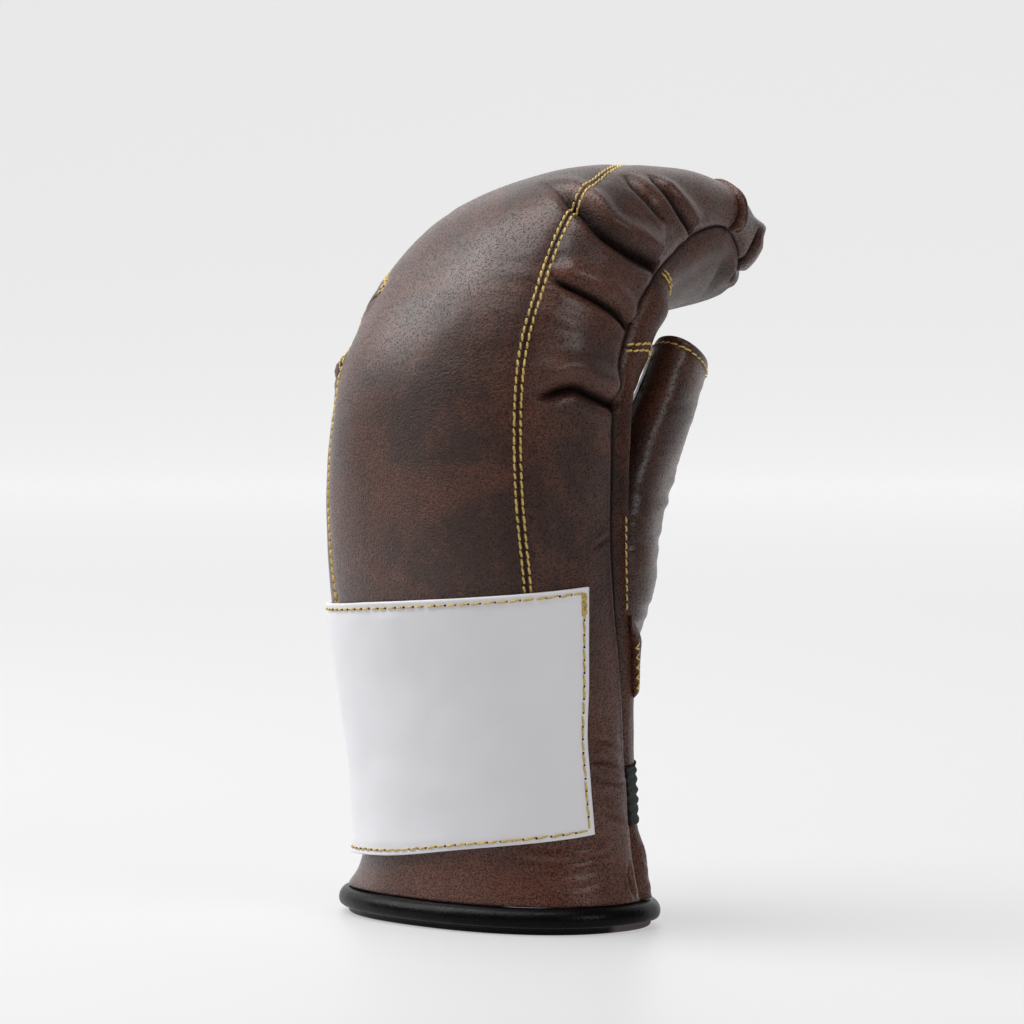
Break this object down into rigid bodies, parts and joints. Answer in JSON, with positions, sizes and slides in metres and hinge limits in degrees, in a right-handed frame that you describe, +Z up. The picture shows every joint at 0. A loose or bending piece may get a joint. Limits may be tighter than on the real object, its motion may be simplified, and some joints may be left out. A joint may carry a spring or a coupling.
{
  "type": "bag glove",
  "caption": "Padded leather bag glove for the left hand, hooked over the fingers, with an open thumb sheath, elastic wrist, rolled cuff binding and a bare back label.",
  "frame": {"origin": "middle of the bounding box's underside, on the surface that the cuff stands on", "axes": "+Z up from the cuff to the knuckles, +Y from the back of the hand to the palm, the way the fingers hook, +X towards the thumb"},
  "size_m": [0.12, 0.149, 0.2432],
  "materials": {
    "leather": "waxed brown leather with rubbed, lighter red-brown patches and a soft sheen",
    "elastic": "matt black ribbed elastic webbing",
    "binding": "smooth black synthetic leather, satin",
    "label": "soft white vinyl, low gloss, bare of any print"
  },
  "bodies": {
    "root": {"back_panel": "leather", "side_panel_thumb": "leather", "side_panel_little": "leather", "cuff_wall": "leather", "palm_panel": "leather", "grip_roll": "leather", "finger_pad": "leather", "thumb_sheath": "leather", "cuff_gusset": "leather", "cuff_elastic": "elastic", "cuff_binding": "binding", "cuff_label": "label"}
  },
  "joints": []
}
